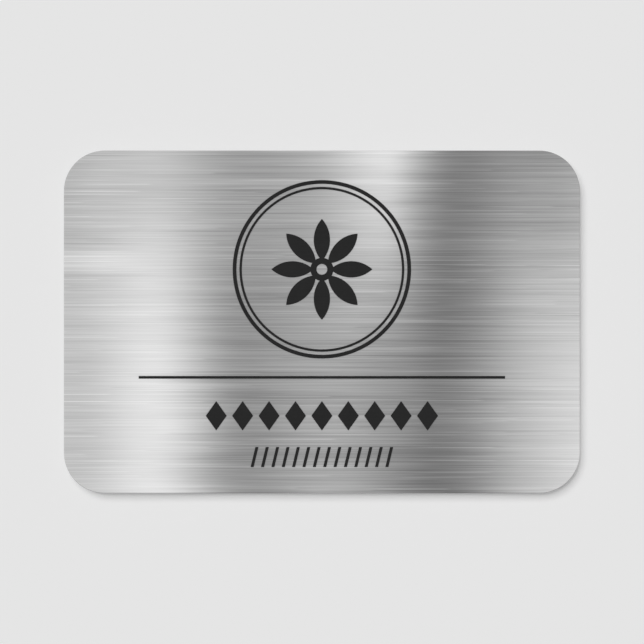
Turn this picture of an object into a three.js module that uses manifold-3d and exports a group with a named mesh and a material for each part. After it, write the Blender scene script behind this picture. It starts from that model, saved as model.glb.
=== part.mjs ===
// Name badge: a brushed metal plate with a printed front, lying on the plain bar on its back
// that fastens it to clothes.
// Millimetres. X runs to the right of the face, Y to its top edge and Z out of its front.
// The origin is on the surface that the badge lies on, below the middle of the plate.

import * as THREE from 'three';
import { mergeVertices } from 'three/addons/utils/BufferGeometryUtils.js';
import Module from 'manifold-3d';

const wasm = await Module();
wasm.setup();

// Plate
const plateWidth = 76.2;
const plateHeight = 50.6;
const plateThickness = 1.5;
const plateCornerRadius = 6;
const plateEdgeBreak = 0.2;

// Bar on the back
const barLength = 45;
const barHeight = 13;
const barThickness = 3.2;
const barCornerRadius = 2;
const barEdgeBreak = 0.5;
const barRise = 4; // from the plate's middle up to the bar's middle, so that a worn badge hangs upright
const barClearance = 0.05; // between the bar and the plate's back

// Print on the front
const inkThickness = 0.1;
const inkClearance = 0.02; // between the print and the plate's face
const artDrop = 0.25; // from the plate's middle down to the middle of the artwork

// Double ring and the rosette in it
const innerRingRadius = 11.82; // to the inside of the thin line
const innerRingLine = 0.35;
const ringGap = 0.45; // clear plate between the two lines
const outerRingLine = 0.55;
const petalCount = 8;
const petalHalfWidth = 1.2;
const rosetteMargin = 4.37; // clear plate between the petals' tips and the thin line
const eyeRadius = 0.8; // bare disc in the middle of the rosette
const hubLine = 0.9; // ring round the eye, which the petals grow from

// Rule under the ring
const ruleLength = 54.1;
const ruleLine = 0.39;

// Row of lozenges in the place of the name
const nameMarkCount = 9;
const nameMarkWidth = 3.1;
const nameMarkHeight = 4.35;
const nameMarkGap = 0.8;

// Row of leaning strokes in the place of the title
const titleMarkCount = 14;
const titleMarkLine = 0.45;
const titleMarkHeight = 2.95;
const titleMarkGap = 1.08;
const titleMarkLeanDeg = 13.5; // from upright, towards the right

// Clear plate between the rows, from top to bottom
const ringToRuleGap = 2.58;
const ruleToNameGap = 3.31;
const nameToTitleGap = 2.44;

// Fineness of the curves. An arc gets two steps for each of its segments.
const cornerSegments = 6; // in a quarter turn
const circleSegments = 48; // in a full turn
const petalSegments = 12; // along one side of a petal

// Heights above the surface
const plateBack = barThickness + barClearance;
const plateFront = plateBack + plateThickness;
const inkBack = plateFront + inkClearance;

// Places of the rows, worked out as one stack about the plate's middle
const ringRadius = innerRingRadius + innerRingLine + ringGap + outerRingLine;
const rowHeights = [2 * ringRadius, ruleLine, nameMarkHeight, titleMarkHeight];
const rowGaps = [ringToRuleGap, ruleToNameGap, nameToTitleGap];
const [ringY, ruleY, nameY, titleY] = stackRows(rowHeights, rowGaps, -artDrop);

const metal = new THREE.MeshStandardMaterial({ color: 0xb4b4b4, roughness: 0.35, metalness: 1 });
const ink = new THREE.MeshStandardMaterial({ color: 0x272727, roughness: 0.5, metalness: 0 });
const plastic = new THREE.MeshStandardMaterial({ color: 0x1e1e1e, roughness: 0.6, metalness: 0 });

// Middles of rows of the given heights, from the top one down, with the whole stack about middleY.
function stackRows(heights, gaps, middleY) {
  const total = [...heights, ...gaps].reduce((sum, length) => sum + length, 0);
  let top = middleY + total / 2;
  return heights.map((height, row) => {
    const middle = top - height / 2;
    top -= height + (gaps[row] ?? 0);
    return middle;
  });
}

function roundedRectangle(width, height, radius) {
  const x = width / 2 - radius;
  const y = height / 2 - radius;
  const shape = new THREE.Shape();
  shape.absarc(x, y, radius, 0, Math.PI / 2);
  shape.absarc(-x, y, radius, Math.PI / 2, Math.PI);
  shape.absarc(-x, -y, radius, Math.PI, Math.PI * 1.5);
  shape.absarc(x, -y, radius, Math.PI * 1.5, Math.PI * 2);
  return shape;
}

function rectangle(width, height) {
  return leaningRectangle(width, height, 0);
}

// A rectangle whose top edge is pushed to the right, as in a slanted stroke.
function leaningRectangle(width, height, leanDeg) {
  const push = (height / 2) * Math.tan(THREE.MathUtils.degToRad(leanDeg));
  return new THREE.Shape([
    new THREE.Vector2(-width / 2 - push, -height / 2),
    new THREE.Vector2(width / 2 - push, -height / 2),
    new THREE.Vector2(width / 2 + push, height / 2),
    new THREE.Vector2(-width / 2 + push, height / 2),
  ]);
}

function lozenge(width, height) {
  return new THREE.Shape([
    new THREE.Vector2(0, -height / 2),
    new THREE.Vector2(width / 2, 0),
    new THREE.Vector2(0, height / 2),
    new THREE.Vector2(-width / 2, 0),
  ]);
}

function annulus(innerRadius, line) {
  const shape = new THREE.Shape();
  shape.absarc(0, 0, innerRadius + line, 0, Math.PI * 2);
  const hole = new THREE.Path();
  hole.absarc(0, 0, innerRadius, 0, Math.PI * 2, true);
  shape.holes.push(hole);
  return shape;
}

// A petal along X, with two curved sides that meet in a point at each end. A quadratic curve
// passes half as far out as its control point.
function petal(rootX, tipX, halfWidth) {
  const middleX = (rootX + tipX) / 2;
  const shape = new THREE.Shape();
  shape.moveTo(rootX, 0);
  shape.quadraticCurveTo(middleX, -2 * halfWidth, tipX, 0);
  shape.quadraticCurveTo(middleX, 2 * halfWidth, rootX, 0);
  return shape;
}

// A flat slab with round corners, its edges broken by a small chamfer, on z = 0.
function slab(width, height, thickness, cornerRadius, edgeBreak) {
  const geometry = new THREE.ExtrudeGeometry(roundedRectangle(width, height, cornerRadius), {
    depth: thickness - 2 * edgeBreak,
    curveSegments: cornerSegments,
    bevelSegments: 1,
    bevelThickness: edgeBreak,
    bevelSize: edgeBreak,
    bevelOffset: -edgeBreak,
  });
  return geometry.translate(0, 0, edgeBreak);
}

function printed(shape, curveSegments) {
  return new THREE.ExtrudeGeometry(shape, { depth: inkThickness, curveSegments, bevelEnabled: false });
}

function toSolid(geometry) {
  const bare = geometry.clone();
  bare.deleteAttribute('normal');
  bare.deleteAttribute('uv');
  const merged = mergeVertices(bare);
  return new wasm.Manifold(new wasm.Mesh({
    numProp: 3,
    vertProperties: Float32Array.from(merged.attributes.position.array),
    triVerts: Uint32Array.from(merged.index.array),
  }));
}

function toGeometry(solid) {
  const { vertProperties, triVerts } = solid.getMesh();
  const geometry = new THREE.BufferGeometry();
  geometry.setAttribute('position', new THREE.BufferAttribute(vertProperties, 3));
  geometry.setIndex(new THREE.BufferAttribute(triVerts, 1));
  geometry.computeVertexNormals();
  return geometry;
}

// The petals are joined to the ring round the eye, so the whole rosette is one print.
function rosette() {
  let solid = toSolid(printed(annulus(eyeRadius, hubLine), circleSegments));
  const petalRoot = eyeRadius + hubLine / 2;
  const petalTip = innerRingRadius - rosetteMargin;
  for (let turn = 0; turn < petalCount; turn += 1) {
    const leaf = printed(petal(petalRoot, petalTip, petalHalfWidth), petalSegments);
    leaf.rotateZ((turn / petalCount) * Math.PI * 2 + Math.PI / 2);
    solid = solid.add(toSolid(leaf));
  }
  return toGeometry(solid);
}

function piece(name, geometry, material, x = 0, y = 0, z = 0) {
  const mesh = new THREE.Mesh(geometry, material);
  mesh.name = name;
  mesh.position.set(x, y, z);
  return mesh;
}

// A row of like marks about x = 0, each a print of its own.
function markRow(name, count, pitch, shape, y) {
  const row = new THREE.Group();
  for (let mark = 0; mark < count; mark += 1) {
    const x = (mark - (count - 1) / 2) * pitch;
    row.add(piece(`${name}_${mark + 1}`, printed(shape), ink, x, y));
  }
  return row;
}

const badge = new THREE.Group();

const bar = slab(barLength, barHeight, barThickness, barCornerRadius, barEdgeBreak);
badge.add(piece('magnet_bar', bar, plastic, 0, barRise));

const plate = slab(plateWidth, plateHeight, plateThickness, plateCornerRadius, plateEdgeBreak);
badge.add(piece('plate', plate, metal, 0, 0, plateBack));

const print = new THREE.Group();
print.position.z = inkBack;
badge.add(print);

const thickLine = printed(annulus(ringRadius - outerRingLine, outerRingLine), circleSegments);
const thinLine = printed(annulus(innerRingRadius, innerRingLine), circleSegments);
print.add(piece('outer_ring', thickLine, ink, 0, ringY));
print.add(piece('inner_ring', thinLine, ink, 0, ringY));
print.add(piece('rosette', rosette(), ink, 0, ringY));
print.add(piece('rule', printed(rectangle(ruleLength, ruleLine)), ink, 0, ruleY));

const nameMark = lozenge(nameMarkWidth, nameMarkHeight);
print.add(markRow('name_mark', nameMarkCount, nameMarkWidth + nameMarkGap, nameMark, nameY));

const titleMark = leaningRectangle(titleMarkLine, titleMarkHeight, titleMarkLeanDeg);
print.add(markRow('title_mark', titleMarkCount, titleMarkLine + titleMarkGap, titleMark, titleY));

export default badge;
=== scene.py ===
# %% [markdown]
# # A brushed metal name badge
#
# The badge lies face up on a pale table. It is a rectangle of brushed aluminium with round corners,
# printed in black, and a slim plastic bar on its back holds it to clothes. The imported CAD model has
# every piece at its real size and place. This lesson models each one again with the edges and the
# finish that a close look at the real badge shows, and puts it exactly where the CAD piece is.
#
# The first cell loads that model. Its pieces are kept, and their boxes give each new piece its size and
# place.

import math

import bmesh
import bpy
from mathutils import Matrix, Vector


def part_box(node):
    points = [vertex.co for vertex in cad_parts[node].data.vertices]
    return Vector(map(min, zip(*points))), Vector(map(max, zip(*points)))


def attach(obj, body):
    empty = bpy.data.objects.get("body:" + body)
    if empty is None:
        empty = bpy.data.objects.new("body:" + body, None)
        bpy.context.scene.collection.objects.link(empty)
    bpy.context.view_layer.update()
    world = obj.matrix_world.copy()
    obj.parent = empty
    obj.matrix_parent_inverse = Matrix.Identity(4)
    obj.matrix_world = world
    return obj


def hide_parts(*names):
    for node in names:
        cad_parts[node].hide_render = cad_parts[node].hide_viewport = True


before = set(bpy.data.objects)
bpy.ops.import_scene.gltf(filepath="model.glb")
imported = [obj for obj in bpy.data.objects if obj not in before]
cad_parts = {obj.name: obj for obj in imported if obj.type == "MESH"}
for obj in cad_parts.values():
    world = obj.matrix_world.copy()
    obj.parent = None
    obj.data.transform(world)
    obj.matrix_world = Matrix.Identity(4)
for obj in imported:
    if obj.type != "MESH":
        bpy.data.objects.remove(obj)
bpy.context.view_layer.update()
MM = 0.001  # a millimetre, in Blender's metres

# %% [markdown]
# ## The camera
#
# The photograph looks straight down on the badge, and the plate's straight sides stay parallel, so it
# was taken from far off. A camera could be orthographic for that, but the other views need one with
# perspective. A long lens from two thirds of a metre gives nearly the same picture. Its distance
# follows from what the picture has to span at the height of the plate's face.

# %% Camera straight above the plate
picture_span = 95.09 * MM  # across the picture, at the plate's face
picture_middle = (0.015 * MM, -0.015 * MM)
lens_length = 250  # in millimetres, as the sensor's width is
sensor_width = 36

plate_low, plate_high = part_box("plate")
camera_rise = picture_span * lens_length / sensor_width
bpy.ops.object.camera_add(location=(*picture_middle, plate_high.z + camera_rise), rotation=(0, 0, 0))
camera = bpy.context.object
camera.name = "camera"
camera.data.lens = lens_length
camera.data.sensor_width = sensor_width
camera.data.clip_end = 20
bpy.context.scene.camera = camera
bpy.context.scene.view_settings.view_transform = "Standard"

print(f"camera {camera_rise:.3f} m above the plate's face")

# %% [markdown]
# ## Sums on sockets
#
# A procedural finish is mostly arithmetic: a streak is a noise less its mean, times a strength. Drawn
# as nodes that is hard to read, so a small class holds an output socket and lets Python's operators
# add the Math nodes. Every other node comes from its method `node`, which takes the node's type, its
# settings and what goes into its sockets.

# %% A class for node sockets
class Wire:
    """An output socket of a node tree, or the tree alone, that sums and other nodes start from."""

    def __init__(self, tree, socket=None):
        self.tree = tree
        self.socket = socket

    def node(self, kind, settings=None, inputs=None, output=0):
        """Adds a node, sets it, feeds its sockets with values or wires, and gives one of its outputs."""
        node = self.tree.nodes.new(kind)
        for name, value in (settings or {}).items():
            setattr(node, name, value)
        for name, value in (inputs or {}).items():
            if isinstance(value, Wire):
                self.tree.links.new(value.socket, node.inputs[name])
            else:
                node.inputs[name].default_value = value
        return Wire(self.tree, node.outputs[output] if node.outputs else None)

    def axes(self):
        """The X, Y and Z of a vector."""
        split = self.node("ShaderNodeSeparateXYZ", inputs={0: self})
        return [Wire(self.tree, socket) for socket in split.socket.node.outputs]

    def math(self, operation, *others):
        """A Math node with this wire in its first socket and the others in the next ones."""
        return self.node("ShaderNodeMath", {"operation": operation}, dict(enumerate((self, *others))))

    def __add__(self, other):
        return self.math("ADD", other)

    def __sub__(self, other):
        return self.math("SUBTRACT", other)

    def __rsub__(self, other):
        return self.node("ShaderNodeMath", {"operation": "SUBTRACT"}, {0: other, 1: self})

    def __mul__(self, other):
        return self.math("MULTIPLY", other)

    def __truediv__(self, other):
        return self.math("DIVIDE", other)

    def __pow__(self, other):
        return self.math("POWER", other)

    __radd__ = __add__
    __rmul__ = __mul__


def smooth_step(value, start, end, low=0.0, high=1.0):
    """Goes softly from low to high while the value goes from start to end, and is level outside."""
    settings = {"interpolation_type": "SMOOTHSTEP"}
    inputs = {"Value": value, "From Min": start, "From Max": end, "To Min": low, "To Max": high}
    return value.node("ShaderNodeMapRange", settings, inputs, "Result")


print("a Wire adds Math nodes for + - * / and **")

# %% [markdown]
# ## The table and the light
#
# The table is a plain white one, as small goods are photographed on. It is lit evenly from above and
# a little from below through its milky top, so it comes out as one pale grey, and the gap under the
# badge doesn't turn black. In the photograph the badge throws a narrow soft shadow to its right and
# below, with a dark line close to the edge, and none to its left or above. Area lamps would do this,
# but they light a small badge unevenly from edge to edge. Suns light everything alike, and their
# direction and size alone shape the shadow. One stands overhead, and its shadow is hidden under the
# plate. A small one a little to the upper left draws the dark line, and a wide soft one further over
# draws the fade. The shares of the three suns, the glow from below and the tent that is built after
# them add up to all of the table's light.
#
# A shiny surface shows what stands round it and not its lamps, so the suns are kept out of
# reflections. The metal sees a bright tent instead, a little brighter to the upper left. A ray that
# bounced off the table before it met the metal gets only the tent's plain share, so that the plate's
# edge and underside throw no bright light back at the table.

# %% Table
table_tone = 0.783  # of the table in the picture, as linear light
table_white = 0.8  # how much of the light on it the table gives back
table_glow = 0.18  # of its tone that comes through it from below
table_width = 8  # in metres

bpy.ops.object.select_all(action="DESELECT")
bpy.ops.mesh.primitive_plane_add(size=table_width, location=(0, 0, 0))
table = bpy.context.object
table.name = "table"
card = bpy.data.materials.new("white_card")
card.use_nodes = True
card_shader = card.node_tree.nodes["Principled BSDF"]
card_shader.inputs["Base Color"].default_value = (table_white, table_white, table_white, 1)
card_shader.inputs["Roughness"].default_value = 0.9
card_shader.inputs["Specular IOR Level"].default_value = 0
card_shader.inputs["Emission Color"].default_value = (1, 1, 1, 1)
card_shader.inputs["Emission Strength"].default_value = table_glow * table_tone
table.data.materials.append(card)

print("table", table_width, "m wide, reflects", table_white)

# %% Suns
tent_share = 0.08  # of the table's light that comes from all round

# Share of the table's light; then how far the sun leans to the left and to the top, and its width,
# all three in degrees
suns = {
    "overhead_sun": (0.20, 0.0, 0.0, 3.0),
    "line_sun": (0.10, 5.6, 6.1, 1.9),
    "fade_sun": (0.44, 7.7, 9.6, 21.0),
}
sun_total = table_tone / table_white * math.pi
sun_height = 0.5  # where its icon stands, in metres, which changes no light

for name, (share, left, up, width) in suns.items():
    towards = Vector((-math.tan(math.radians(left)), math.tan(math.radians(up)), 1))
    bpy.ops.object.light_add(type="SUN", location=towards * sun_height)
    sun = bpy.context.object
    sun.name = name
    sun.rotation_euler = towards.to_track_quat("Z", "Y").to_euler()
    sun.data.energy = share * sun_total / towards.normalized().z
    sun.data.angle = math.radians(width)
    sun.visible_glossy = False
    print(f"{name}: {share:.0%} of the light, {left} degrees left, {up} up, {width} wide")

# %% Tent
tent_lean = 0.2  # how much brighter the tent is at the upper left than overhead

world = bpy.data.worlds.new("tent")
bpy.context.scene.world = world
world.use_nodes = True
world.node_tree.nodes.clear()
world.cycles.sampling_method = "NONE"

tent = Wire(world.node_tree)
direction = tent.node("ShaderNodeTexCoord", output="Generated")
across, along = direction.axes()[:2]
seen_in_metal = 1 + (along - across) * (tent_lean / math.sqrt(2))
is_camera = tent.node("ShaderNodeLightPath", output="Is Camera Ray")
is_glossy = tent.node("ShaderNodeLightPath", output="Is Glossy Ray")
matt_bounces = tent.node("ShaderNodeLightPath", output="Diffuse Depth")
is_seen = is_glossy * matt_bounces.math("LESS_THAN", 0.5)
is_other = 1 - is_camera - is_seen
plain_light = tent_share * table_tone / table_white
tent_light = is_camera * table_tone + is_seen * seen_in_metal + is_other * plain_light
background = tent.node("ShaderNodeBackground", inputs={"Color": (1, 1, 1, 1), "Strength": tent_light})
tent.node("ShaderNodeOutputWorld", inputs={"Surface": background})

print("tent gives", tent_share, "of the table's light")

# %% [markdown]
# ## Hands for modelling
#
# Edit mode works on what is selected, so each step starts by picking faces, edges or corners by where
# they are. Small helpers save repeating this. One applies a new primitive's size to its mesh, one
# enters edit mode and picks, one rounds what is picked, one leaves edit mode, closes the mesh up and
# shades it, and the last one puts the piece in the place of its CAD node.

# %% Helpers for edit mode
def start_piece(name):
    """Names the primitive that was just added and applies its place and size to its mesh."""
    piece = bpy.context.object
    piece.name = name
    piece.data.name = name
    bpy.ops.object.transform_apply(location=True, rotation=True, scale=True)
    return piece


def pick(piece, kind, wanted):
    """Picks the verts, edges or faces of a piece in edit mode that `wanted` says yes to."""
    bpy.context.view_layer.objects.active = piece
    if piece.mode != "EDIT":
        bpy.ops.object.mode_set(mode="EDIT")
    bpy.ops.mesh.select_mode(type={"verts": "VERT", "edges": "EDGE", "faces": "FACE"}[kind])
    bpy.ops.mesh.select_all(action="DESELECT")
    mesh = bmesh.from_edit_mesh(piece.data)
    mesh.normal_update()
    picked = [part for part in getattr(mesh, kind) if wanted(part)]
    for part in picked:
        part.select_set(True)
    mesh.select_flush_mode()
    bmesh.update_edit_mesh(piece.data)


def middle(part):
    """The middle of an edge or a face."""
    return sum((corner.co for corner in part.verts), Vector()) / len(part.verts)


def is_rim(edge):
    """True for an edge between a level face and an upright one."""
    first, second = (abs(face.normal.z) for face in edge.link_faces)
    return abs(first - second) > 0.5


def round_off(width, steps):
    """Rounds the picked edges."""
    bpy.ops.mesh.bevel(offset=width, segments=steps, profile=0.5, affect="EDGES", clamp_overlap=True)


def finish_piece(piece, angle):
    """Closes and cleans the mesh, points its faces outwards and shades the soft edges smooth."""
    pick(piece, "verts", lambda corner: True)
    bpy.ops.mesh.remove_doubles(threshold=0.0005 * MM)
    bpy.ops.mesh.normals_make_consistent(inside=False)
    bpy.ops.object.mode_set(mode="OBJECT")
    bpy.ops.object.select_all(action="DESELECT")
    piece.select_set(True)
    bpy.ops.object.shade_smooth_by_angle(angle=math.radians(angle))
    size = piece.dimensions / MM
    faces = len(piece.data.polygons)
    print(f"{piece.name}: {size.x:.2f} x {size.y:.2f} x {size.z:.2f} mm, {faces} faces")


def dress(piece, node):
    """Puts a finished piece in the place of a CAD node."""
    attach(piece, "root")
    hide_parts(node)


# %% [markdown]
# ## The plate
#
# The plate is cut from sheet aluminium 1.5 mm thick, its corners are round, and its sharp edge is
# taken off. It is a cube primitive at the CAD plate's size. Bevelling its four upright edges rounds
# the corners, and a second, narrow bevel round both faces takes off the edge. An inset close inside
# the rim then holds the shading: without it, smooth shading would bow the whole flat face.

# %% Round slab
def round_slab(name, low, high, corner, corner_steps, rim, rim_steps, hold):
    """A slab between two points, with round corners and rounded rims."""
    bpy.ops.object.select_all(action="DESELECT")
    bpy.ops.mesh.primitive_cube_add(size=1, location=(low + high) / 2, scale=high - low)
    piece = start_piece(name)
    pick(piece, "edges", lambda edge: abs(edge.verts[0].co.z - edge.verts[1].co.z) > rim)
    round_off(corner, corner_steps)
    pick(piece, "edges", is_rim)
    round_off(rim, rim_steps)
    pick(piece, "faces", lambda face: abs(face.normal.z) > 0.999)
    bpy.ops.mesh.inset(thickness=hold)
    return piece


# %% Plate
plate = round_slab(
    "badge_plate", plate_low, plate_high,
    corner=6 * MM, corner_steps=24, rim=0.09 * MM, rim_steps=4, hold=0.1 * MM,
)
finish_piece(plate, angle=35)
dress(plate, "plate")

# %% [markdown]
# ## The magnet bar
#
# The fastener on the back is a slim bar of black plastic that holds magnets, and it lifts the plate a
# little off the table. It is the same kind of slab as the plate, with fuller moulded edges. Nothing
# of it shows in the photograph, so it stays plain.

# %% Magnet bar
bar_low, bar_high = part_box("magnet_bar")
bar = round_slab(
    "clasp_bar", bar_low, bar_high,
    corner=2 * MM, corner_steps=12, rim=0.5 * MM, rim_steps=6, hold=0.2 * MM,
)
finish_piece(bar, angle=35)
dress(bar, "magnet_bar")

# %% [markdown]
# ## The printed rings
#
# A printed line stands a tenth of a millimetre proud here, with its upper edge softened, as thick
# ink dries. A ring could be a torus pressed flat, but two circles bridged into a flat washer keep its
# two radii exact. The washer is then extruded up to its thickness.

# %% Rings
ring_steps = 192
ring_lines = {"thick_ring": ("outer_ring", 0.55 * MM), "thin_ring": ("inner_ring", 0.35 * MM)}
ink_soft_edge = 0.025 * MM


def soften_top(piece):
    """Rounds the upper rim of a print."""
    top = max(corner.co.z for corner in piece.data.vertices)
    pick(piece, "edges", lambda edge: is_rim(edge) and middle(edge).z > top - ink_soft_edge)
    round_off(ink_soft_edge, 2)


def washer(name, centre, inner, outer, bottom, top):
    """A flat ring of ink between two radii."""
    base = (centre.x, centre.y, bottom)
    bpy.ops.object.select_all(action="DESELECT")
    bpy.ops.mesh.primitive_circle_add(vertices=ring_steps, radius=outer, location=base)
    piece = start_piece(name)
    bpy.ops.object.mode_set(mode="EDIT")
    bpy.ops.mesh.primitive_circle_add(vertices=ring_steps, radius=inner, location=base)
    pick(piece, "edges", lambda edge: True)
    bpy.ops.mesh.bridge_edge_loops()
    pick(piece, "faces", lambda face: True)
    bpy.ops.mesh.extrude_region_move(TRANSFORM_OT_translate={"value": (0, 0, top - bottom)})
    pick(piece, "verts", lambda corner: True)
    bpy.ops.mesh.normals_make_consistent(inside=False)
    bpy.ops.object.mode_set(mode="OBJECT")
    return piece


for name, (node, line) in ring_lines.items():
    low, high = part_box(node)
    radius = (high.x - low.x) / 2
    ring = washer(name, (low + high) / 2, radius - line, radius, low.z, high.z)
    soften_top(ring)
    finish_piece(ring, angle=20)
    dress(ring, node)

# %% [markdown]
# ## The rosette
#
# Eight petals grow from a small ring round a bare eye, all in one print. A petal with two curved sides
# is just what two overlapping discs share, so it is made as their intersection, once. Eight copies
# are turned round the middle, and Boolean unions melt them into the ring. The tops all lie in one
# plane. The exact solver leaves edges of almost no length there, and a bevel that keeps clear of them
# shrinks to nothing, so the Manifold solver does the unions. A limited dissolve then clears the seams
# that they leave in the flat top.

# %% One petal
petal_root = 1.25 * MM
petal_tip = 7.45 * MM
petal_half_width = 1.2 * MM
petal_count = 8
disc_steps = 240
eye_radius = 0.8 * MM
hub_radius = 1.7 * MM


def apply_boolean(piece, other, operation):
    """Joins or cuts a piece with another one, which is used up."""
    bpy.ops.object.select_all(action="DESELECT")
    piece.select_set(True)
    bpy.context.view_layer.objects.active = piece
    boolean = piece.modifiers.new("boolean", "BOOLEAN")
    boolean.operation = operation
    boolean.solver = "MANIFOLD"
    boolean.object = other
    bpy.ops.object.modifier_apply(modifier=boolean.name)
    bpy.data.objects.remove(other, do_unlink=True)


rosette_low, rosette_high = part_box("rosette")
rosette_middle = (rosette_low + rosette_high) / 2
ink_depth = rosette_high.z - rosette_low.z
half_length = (petal_tip - petal_root) / 2
side_radius = (half_length**2 + petal_half_width**2) / (2 * petal_half_width)
discs = []
for side in (-1, 1):
    disc_place = rosette_middle + Vector((
        side * (side_radius - petal_half_width),
        (petal_root + petal_tip) / 2,
        0,
    ))
    bpy.ops.object.select_all(action="DESELECT")
    bpy.ops.mesh.primitive_cylinder_add(
        vertices=disc_steps, radius=side_radius, depth=ink_depth, location=disc_place
    )
    discs.append(start_piece("petal"))
petal, second_disc = discs
apply_boolean(petal, second_disc, "INTERSECT")

print(f"the petal's sides have a radius of {side_radius / MM:.2f} mm")

# %% Eight petals and the ring round the eye
rosette = washer(
    "petal_rosette", rosette_middle, eye_radius, hub_radius, rosette_low.z, rosette_high.z
)
for turn in range(petal_count):
    bpy.ops.object.select_all(action="DESELECT")
    petal.select_set(True)
    bpy.context.view_layer.objects.active = petal
    bpy.ops.object.duplicate(linked=False)
    leaf = bpy.context.object
    bpy.ops.object.mode_set(mode="EDIT")
    bpy.ops.mesh.select_all(action="SELECT")
    bpy.ops.transform.rotate(
        value=turn * 2 * math.pi / petal_count, orient_axis="Z", center_override=tuple(rosette_middle)
    )
    bpy.ops.object.mode_set(mode="OBJECT")
    apply_boolean(rosette, leaf, "UNION")
bpy.data.objects.remove(petal, do_unlink=True)

pick(rosette, "faces", lambda face: True)
bpy.ops.mesh.dissolve_limited(angle_limit=math.radians(0.3))
bpy.ops.object.mode_set(mode="OBJECT")
soften_top(rosette)
finish_piece(rosette, angle=20)
dress(rosette, "rosette")

# %% [markdown]
# ## The rule and the two rows of marks
#
# Under the ring runs a thin rule, and below it stand a row of lozenges and a row of leaning strokes,
# plain marks where a badge would carry its wording. The rule is a long block, and a lozenge is a
# cylinder of four sides. A stroke is a block whose upper end is moved to the right and its lower end
# to the left, which keeps both ends level, as a slanted letter's are. Turning it would tilt them. The
# corners of all three are rounded a little, because ink never fills a sharp corner. Each mark is made
# once and copied along its row, and every copy gets a mesh of its own.

# %% Rule
ink_corner = 0.06 * MM


def is_upright(edge):
    """True for an edge that runs from the bottom of a print to its top."""
    return abs(edge.verts[0].co.z - edge.verts[1].co.z) > 0.5 * ink_depth


def finish_print(piece):
    """Rounds the corners of a print a little and softens its upper rim."""
    pick(piece, "edges", is_upright)
    round_off(ink_corner, 3)
    bpy.ops.object.mode_set(mode="OBJECT")
    soften_top(piece)
    finish_piece(piece, angle=20)


rule_low, rule_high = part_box("rule")
bpy.ops.object.select_all(action="DESELECT")
bpy.ops.mesh.primitive_cube_add(size=1, location=(rule_low + rule_high) / 2, scale=rule_high - rule_low)
rule = start_piece("thin_rule")
finish_print(rule)
dress(rule, "rule")


# %% Rows of copies
def copy_along(first, name, node, count):
    """Copies the first mark of a row to the places of the other CAD marks."""
    start = sum(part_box(f"{node}_1"), Vector()) / 2
    marks = [first]
    for number in range(2, count + 1):
        bpy.ops.object.select_all(action="DESELECT")
        first.select_set(True)
        bpy.context.view_layer.objects.active = first
        bpy.ops.object.duplicate(linked=False)
        mark = bpy.context.object
        mark.name = f"{name}_{number}"
        mark.data.name = mark.name
        mark.location = sum(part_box(f"{node}_{number}"), Vector()) / 2 - start
        bpy.ops.object.transform_apply(location=True, rotation=False, scale=False)
        marks.append(mark)
    for number, mark in enumerate(marks, start=1):
        dress(mark, f"{node}_{number}")
    print(f"{name}: {len(marks)} marks, {marks[1].data.name} is a mesh of its own")
    return marks


# %% Lozenges
lozenge_low, lozenge_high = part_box("name_mark_1")
lozenge_size = lozenge_high - lozenge_low
bpy.ops.object.select_all(action="DESELECT")
bpy.ops.mesh.primitive_cylinder_add(
    vertices=4, radius=1, depth=1,
    location=(lozenge_low + lozenge_high) / 2,
    scale=(lozenge_size.x / 2, lozenge_size.y / 2, lozenge_size.z),
)
lozenge = start_piece("lozenge_1")
finish_print(lozenge)
lozenges = copy_along(lozenge, "lozenge", "name_mark", count=9)

# %% Strokes
stroke_line = 0.45 * MM

stroke_low, stroke_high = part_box("title_mark_1")
stroke_size = stroke_high - stroke_low
stroke_middle = (stroke_low + stroke_high) / 2
push = (stroke_size.x - stroke_line) / 2
bpy.ops.object.select_all(action="DESELECT")
bpy.ops.mesh.primitive_cube_add(
    size=1, location=stroke_middle, scale=(stroke_line, stroke_size.y, stroke_size.z)
)
stroke = start_piece("stroke_1")
for end in (-1, 1):
    pick(stroke, "verts", lambda corner: (corner.co.y - stroke_middle.y) * end > 0)
    bpy.ops.transform.translate(value=(push * end, 0, 0))
bpy.ops.object.mode_set(mode="OBJECT")
finish_print(stroke)
strokes = copy_along(stroke, "stroke", "title_mark", count=14)

print(f"the strokes lean {math.degrees(math.atan2(2 * push, stroke_size.y)):.1f} degrees")

# %% [markdown]
# ## Brushed metal
#
# Brushing cuts thousands of fine level scratches into the face. Each scratch throws light up and
# down but hardly to the sides, so whatever stands beside the badge shows in it as soft upright
# bands, a little ragged from scratch to scratch. Real things placed round the badge could throw them,
# but the photograph doesn't tell what stood there. The bands are painted here into the colour, each
# one a bell curve across the plate whose strength changes from top to bottom.
#
# Tones are written as the eye sees them, from 0 for black to 1 for white, and turned into the
# shader's linear light at the end.

# %% A new finish
def new_finish(name):
    """A material with an empty node tree, and a wire to start its nodes from."""
    material = bpy.data.materials.new(name)
    material.use_nodes = True
    material.node_tree.nodes.clear()
    return material, Wire(material.node_tree)


def place_on(start):
    """The place on the piece, in millimetres."""
    metres = start.node("ShaderNodeTexCoord", output="Object")
    return start.node("ShaderNodeMapping", inputs={"Vector": metres, "Scale": (1 / MM, 1 / MM, 1 / MM)})


def noise(place, size, detail=2.0, offset=0.0):
    """A noise about 0, with a grain of the given size along X, Y and Z, in millimetres."""
    stretched = place.node("ShaderNodeMapping", inputs={
        "Vector": place,
        "Location": (0, offset, offset),
        "Scale": tuple(1 / length for length in size),
    })
    inputs = {"Vector": stretched, "Scale": 1.0, "Detail": detail, "Roughness": 0.6}
    return place.node("ShaderNodeTexNoise", inputs=inputs, output="Fac") - 0.5


def grain(place, length, height, detail=2.0, offset=0.0):
    """A noise drawn out in level streaks of the given length and height."""
    return noise(place, (length, height, height), detail, offset)


metal, brush = new_finish("brushed_aluminium")
metal_place = place_on(brush)
metal_x, metal_y, metal_z = metal_place.axes()

print("places read in millimetres")

# %% Bands across the face
mid_tone = 0.627  # of the face, before the bands

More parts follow.
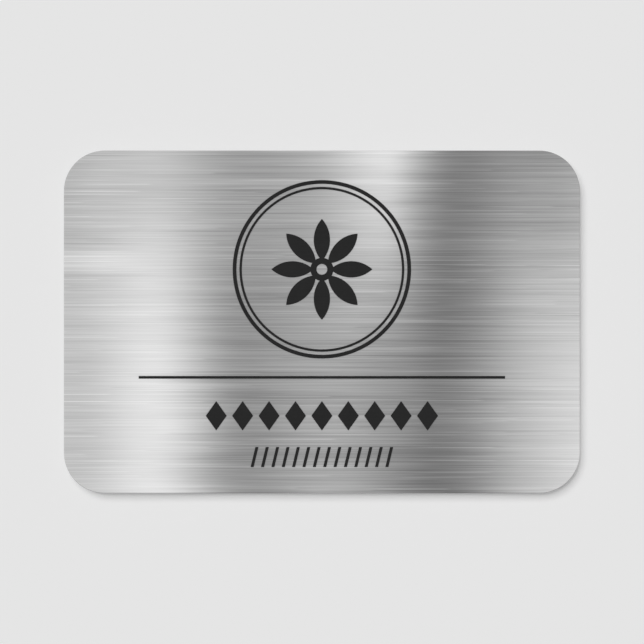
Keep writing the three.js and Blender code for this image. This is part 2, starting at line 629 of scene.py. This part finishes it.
# Where the band's middle is halfway up the plate, how far it moves to the right for each millimetre
# up, and its width to the left and to the right; then the height where its upper tone is reached, and
# that tone, and the same for its lower tone. Lengths are in millimetres.
bands = {
    "far left glow": (-46.0, 0.0, 7.0, 7.0, 20, 0.07, -6, 0.15),
    "left shoulder": (-33.5, 0.0, 2.5, 2.5, 10, 0.02, -12, -0.008),
    "left glow": (-25.0, 0.0, 7.3, 6.0, 20, 0.135, -6, 0.25),
    "left trough": (-12.0, 0.0, 4.0, 5.0, 20, -0.01, -2, -0.067),
    "middle glow": (8.4, 0.04, 5.7, 3.6, 22, 0.205, -6, 0.02),
    "low glow": (-0.5, 0.0, 5.5, 6.5, -6, 0.0, -14, 0.028),
    "dark band": (18.5, 0.065, 3.8, 5.4, 20, -0.13, -14, -0.13),
    "dark shoulder": (9.6, 0.05, 3.4, 3.4, 2, 0.0, -10, -0.045),
    "right glow": (41.5, 0.0, 10.5, 10.0, 17, -0.01, -9, 0.21),
    "right rim glow": (40.0, 0.0, 3.0, 5.0, 16, 0.05, 2, 0.0),
}


def bell(distance, left, right):
    """A bell curve with its own width on each side."""
    on_right = distance.math("GREATER_THAN", 0)
    width = left + on_right * (right - left)
    return ((distance / width) ** 2 * -0.5).math("EXPONENT")


# The bands' edges are moved to and fro by up to 2 mm or so, and less near the top
ragged = grain(metal_place, 60, 0.9, offset=3) * 3 + grain(metal_place, 50, 0.22, offset=19) * 4
ragged = ragged * smooth_step(metal_y, 24, 12, 0.35, 1)
face_tone = mid_tone
for centre, lean, left, right, top, top_tone, bottom, bottom_tone in bands.values():
    distance = metal_x + ragged - metal_y * lean - centre
    tone = smooth_step(metal_y, bottom, top, bottom_tone, top_tone)
    face_tone = face_tone + bell(distance, left, right) * tone

print(len(bands), "bands on the face")

# %% [markdown]
# ## Heavier passes of the brush
#
# The brush presses harder at some heights than at others, which leaves level stripes that are a
# little lighter or darker than the rest. A wide noise would put such stripes anywhere. The few that
# catch the eye are named here instead, each one a soft stripe with a place, a length and a tone.

# %% Passes
# Height on the face, half its thickness, where it starts and ends, all in millimetres, and the tone
# that it adds
passes = {
    "bright, at the left": (9.0, 0.9, -48, -24, 0.05),
    "lighter, wide, at the left": (9.5, 5.0, -52, -14, 0.035),
    "bright, high at the left end": (21.7, 0.5, -48, -24, 0.035),
    "dark, high at the left": (19.4, 1.4, -36, -4, -0.02),
    "lighter, along the top": (24.5, 1.6, -14, 26, 0.035),
    "dark, high at the right": (25.0, 2.0, 24, 50, -0.04),
    "lighter, wide, at the right": (8.0, 5.0, 14, 60, 0.045),
    "lighter, low at the right": (-21.0, 4.0, 30, 60, 0.02),
    "dark, above the bright one at the left": (12.3, 0.7, -44, -28, -0.032),
    "dark, below the bright one at the left": (5.8, 0.8, -46, -26, -0.03),
    "bright, high in the middle": (20.8, 0.35, -24, 16, 0.045),
    "dark, above the dark band": (17.4, 0.5, 0, 18, -0.03),
    "dark, in the middle": (3.7, 0.5, -16, 18, -0.035),
    "dark, below the middle": (-3.7, 0.6, -28, 18, -0.04),
    "dark, across the middle": (-2.0, 0.3, -40, 16, -0.025),
    "bright, at the left glow's edge": (-15.2, 0.8, -26, -12, 0.035),
    "dark, low in the middle": (-18.9, 1.0, -20, 18, -0.035),
    "lighter, wide, in the middle": (-1.0, 4.5, -16, 12, 0.022),
    "dark, above the lozenges' points": (-11.1, 0.4, -18, 8, -0.045),
    "dark, wide, low in the dark band": (-18.5, 2.5, 6, 30, -0.02),
    "lighter, along the lower rim": (-25.2, 0.8, -8, 14, 0.04),
    "dark, wide, in the dark band": (3.0, 5.0, 4, 32, -0.03),
    "dark, low in the dark band": (-25.0, 3.0, 4, 30, -0.03),
}

heavy = 0.0
for height, half, start, end, tone in passes.values():
    reach = (end - start) / 3
    span = smooth_step(metal_x, start, start + reach) * smooth_step(metal_x, end, end - reach)
    heavy = bell(metal_y - height, half, half) * span * tone + heavy

print(len(passes), "heavier passes")

# %% [markdown]
# ## Scratches
#
# The scratches are about a tenth of a millimetre high and some centimetres long. A noise that is
# drawn out along X looks like thousands of them at once, and three such noises of different sizes
# give close and loose brushing together. A noise has no ends to its streaks, so the longest and
# brightest scratches come another way: the face is cut into rows and each row into lengths, and each
# length gets a chance tone and soft ends. All of them show best where the face is neither bright nor
# dark, so their strength follows its tone.

# %% Scratches
def scratches(x, y, height, length, seed):
    """A chance number from 0 to 1 for each level scratch, and a fade at the scratch's two ends.

    The face is cut into rows, and each row into lengths that start at a place of its own.
    """
    row = (y / height + seed).math("FLOOR")
    start = row.node("ShaderNodeTexWhiteNoise", {"noise_dimensions": "1D"}, {"W": row}, "Value")
    along_row = x / length + start * 7
    number = along_row.math("FLOOR")
    cell = row.node("ShaderNodeCombineXYZ", inputs={"X": number, "Y": row})
    chance = row.node("ShaderNodeTexWhiteNoise", {"noise_dimensions": "2D"}, {"Vector": cell}, "Value")
    part = along_row - number
    fade = smooth_step(part, 0.0, 0.4) * smooth_step(part, 1.0, 0.9)
    return chance, fade


# The numbers are the streaks' length and height. Each offset only makes the noise another one.
fine = grain(metal_place, 27, 0.13, offset=11)
medium = grain(metal_place, 45, 0.38, offset=23)
coarse = grain(metal_place, 80, 1.6, offset=37)
sparse = grain(metal_place, 14, 0.14, detail=0, offset=53)
long_scratch, long_fade = scratches(metal_x, metal_y, height=0.15, length=30, seed=400)
bright_scratch, bright_fade = scratches(metal_x, metal_y, height=0.15, length=14, seed=800)

# How much each kind changes the tone of the face
fine_tone = 0.15
medium_tone = 0.09
coarse_tone = 0.06
long_tone = 0.05
bright_tone = 0.06

# Their strength is greatest at one middle tone. Two places are rougher: a strip down the middle of
# the face, and its upper left corner, where only the fine ones are stronger.
rough_tone = 0.61
strength = 0.4 + bell(face_tone - rough_tone, 0.2, 0.15) * 0.75
strength = strength + bell(metal_x - 6, 7, 7) * smooth_step(metal_y, 14, 6) * 0.3
rough_corner = smooth_step(metal_x, -25, -33) * smooth_step(metal_y, 3, 12)
streaks = fine * (strength + rough_corner * 0.75) * fine_tone
streaks = streaks + (medium * medium_tone + coarse * coarse_tone) * strength
long_ones = (long_scratch - 0.5) * long_fade * long_tone
bright_ones = bright_scratch ** 12 * bright_fade * bright_tone  # the high power leaves only a few
streaks = streaks + (long_ones + bright_ones) * strength

print("scratches in three sizes, sparse deeper ones, and single long and bright ones")

# %% [markdown]
# ## Face, back and cut edge
#
# The back is brushed like the face, in an even tone. The edge is cut, and has fine lines of its own
# that run round the plate. Each could have a material of its own on picked faces, but that would
# leave a hard line where they meet. One material does all three here, and the height on the plate
# says which is which.

# %% Metal
back_tone = 0.70
edge_tone = 0.80
wall_shade = 0.12  # how much darker the upright part of the edge is
painted_rim_shade = 0.20  # and the rim round the face, where it looks down the photograph
least_tone = 0.05
screen_curve = 2.2  # turns a tone as the eye sees it into linear light
scratch_depth = 0.004 * MM

# The face's tone ends 0.13 mm below the face, and the back's as far above the back. The edge takes
# up the rest, and the upright wall is the part of it that leaves out both rounded rims.
face_height = plate_high.z / MM
back_height = plate_low.z / MM
on_face = smooth_step(metal_z, face_height - 0.13, face_height - 0.02)
on_back = smooth_step(metal_z, back_height + 0.13, back_height + 0.02)
on_edge = 1 - on_face - on_back
on_wall = smooth_step(metal_z, face_height - 0.1, face_height - 0.2)
on_wall = on_wall * smooth_step(metal_z, back_height + 0.1, back_height + 0.2)
edge_lines = noise(metal_place, (5, 5, 0.07))

# The rim slants between the level face and the upright wall, so its normal is neither. The part of
# it that looks to the bottom of the plate, and a little to the right, gets a painted shade there.
facing_x, facing_y, facing_z = brush.node("ShaderNodeTexCoord", output="Normal").axes()
on_slant = smooth_step(facing_z, 0.99, 0.9) * smooth_step(facing_z, 0.02, 0.2)
painted_shade_on_lower_rim = on_slant * smooth_step(facing_x * 0.26 - facing_y * 0.97, 0.1, 0.5)

seen_tone = on_face * (face_tone + heavy + streaks)
seen_tone = seen_tone + on_back * (back_tone + streaks)
seen_tone = seen_tone + on_edge * (edge_tone - on_wall * wall_shade + edge_lines * 0.3)
# Painted shade: the rim is made darker where it looks to the plate's lower side.
seen_tone = seen_tone - painted_shade_on_lower_rim * painted_rim_shade
linear_tone = seen_tone.math("MAXIMUM", least_tone) ** screen_curve
metal_roughness = 0.42 + fine * 0.12 + medium * 0.1 + on_edge * 0.04
lift = brush.node("ShaderNodeBump", inputs={
    "Strength": 1.0,
    "Distance": scratch_depth,
    "Height": fine + sparse * 0.6 + on_edge * edge_lines,
})
metal_shader = brush.node("ShaderNodeBsdfPrincipled", inputs={
    "Base Color": linear_tone,
    "Metallic": 1.0,
    "Roughness": metal_roughness,
    "Normal": lift,
})
brush.node("ShaderNodeOutputMaterial", inputs={"Surface": metal_shader})
plate.data.materials.append(metal)

print("nodes in the metal:", len(metal.node_tree.nodes))

# %% [markdown]
# ## Black ink and black plastic
#
# The print is a satin black that lies flat on the metal. The scratches under it still show faintly
# in its gloss. The bar is moulded in black plastic with a fine matte grain. Both are nearly black,
# so what makes them look real is how their gloss varies and not their colour.

# %% Ink
ink, inking = new_finish("satin_black_ink")
ink_place = place_on(inking)
under_scratches = grain(ink_place, 14, 0.17, offset=11)
ink_cloud = grain(ink_place, 1.5, 1.1, offset=5)
ink_grey = 0.010 + ink_cloud * 0.008 + under_scratches * 0.008
ink_lift = inking.node("ShaderNodeBump", inputs={
    "Strength": 1.0,
    "Distance": scratch_depth / 2,
    "Height": under_scratches,
})
ink_shader = inking.node("ShaderNodeBsdfPrincipled", inputs={
    "Base Color": ink_grey,
    "Roughness": 0.5 + ink_cloud * 0.2 + under_scratches * 0.18,
    "Specular IOR Level": 0.2,
    "Normal": ink_lift,
})
inking.node("ShaderNodeOutputMaterial", inputs={"Surface": ink_shader})
prints = [bpy.data.objects[name] for name in ring_lines] + [rosette, rule] + lozenges + strokes
for piece in prints:
    piece.data.materials.clear()
    piece.data.materials.append(ink)

print("printed pieces:", len(prints))

# %% Plastic
plastic, moulding = new_finish("matte_black_plastic")
plastic_place = place_on(moulding)
pit_size = 0.12  # in millimetres
pits = grain(plastic_place, pit_size, pit_size, offset=2)
flow = grain(plastic_place, 9, 4, offset=7)
plastic_lift = moulding.node("ShaderNodeBump", inputs={
    "Strength": 1.0,
    "Distance": 0.01 * MM,
    "Height": pits,
})
plastic_shader = moulding.node("ShaderNodeBsdfPrincipled", inputs={
    "Base Color": 0.014 + flow * 0.004 + pits * 0.003,
    "Roughness": 0.55 + pits * 0.2 + flow * 0.1,
    "Specular IOR Level": 0.4,
    "Normal": plastic_lift,
})
moulding.node("ShaderNodeOutputMaterial", inputs={"Surface": plastic_shader})
bar.data.materials.append(plastic)

print("the plastic's pits are", pit_size, "mm wide")

# %% [markdown]
# ## The end
#

# %% End
print("the badge is built")
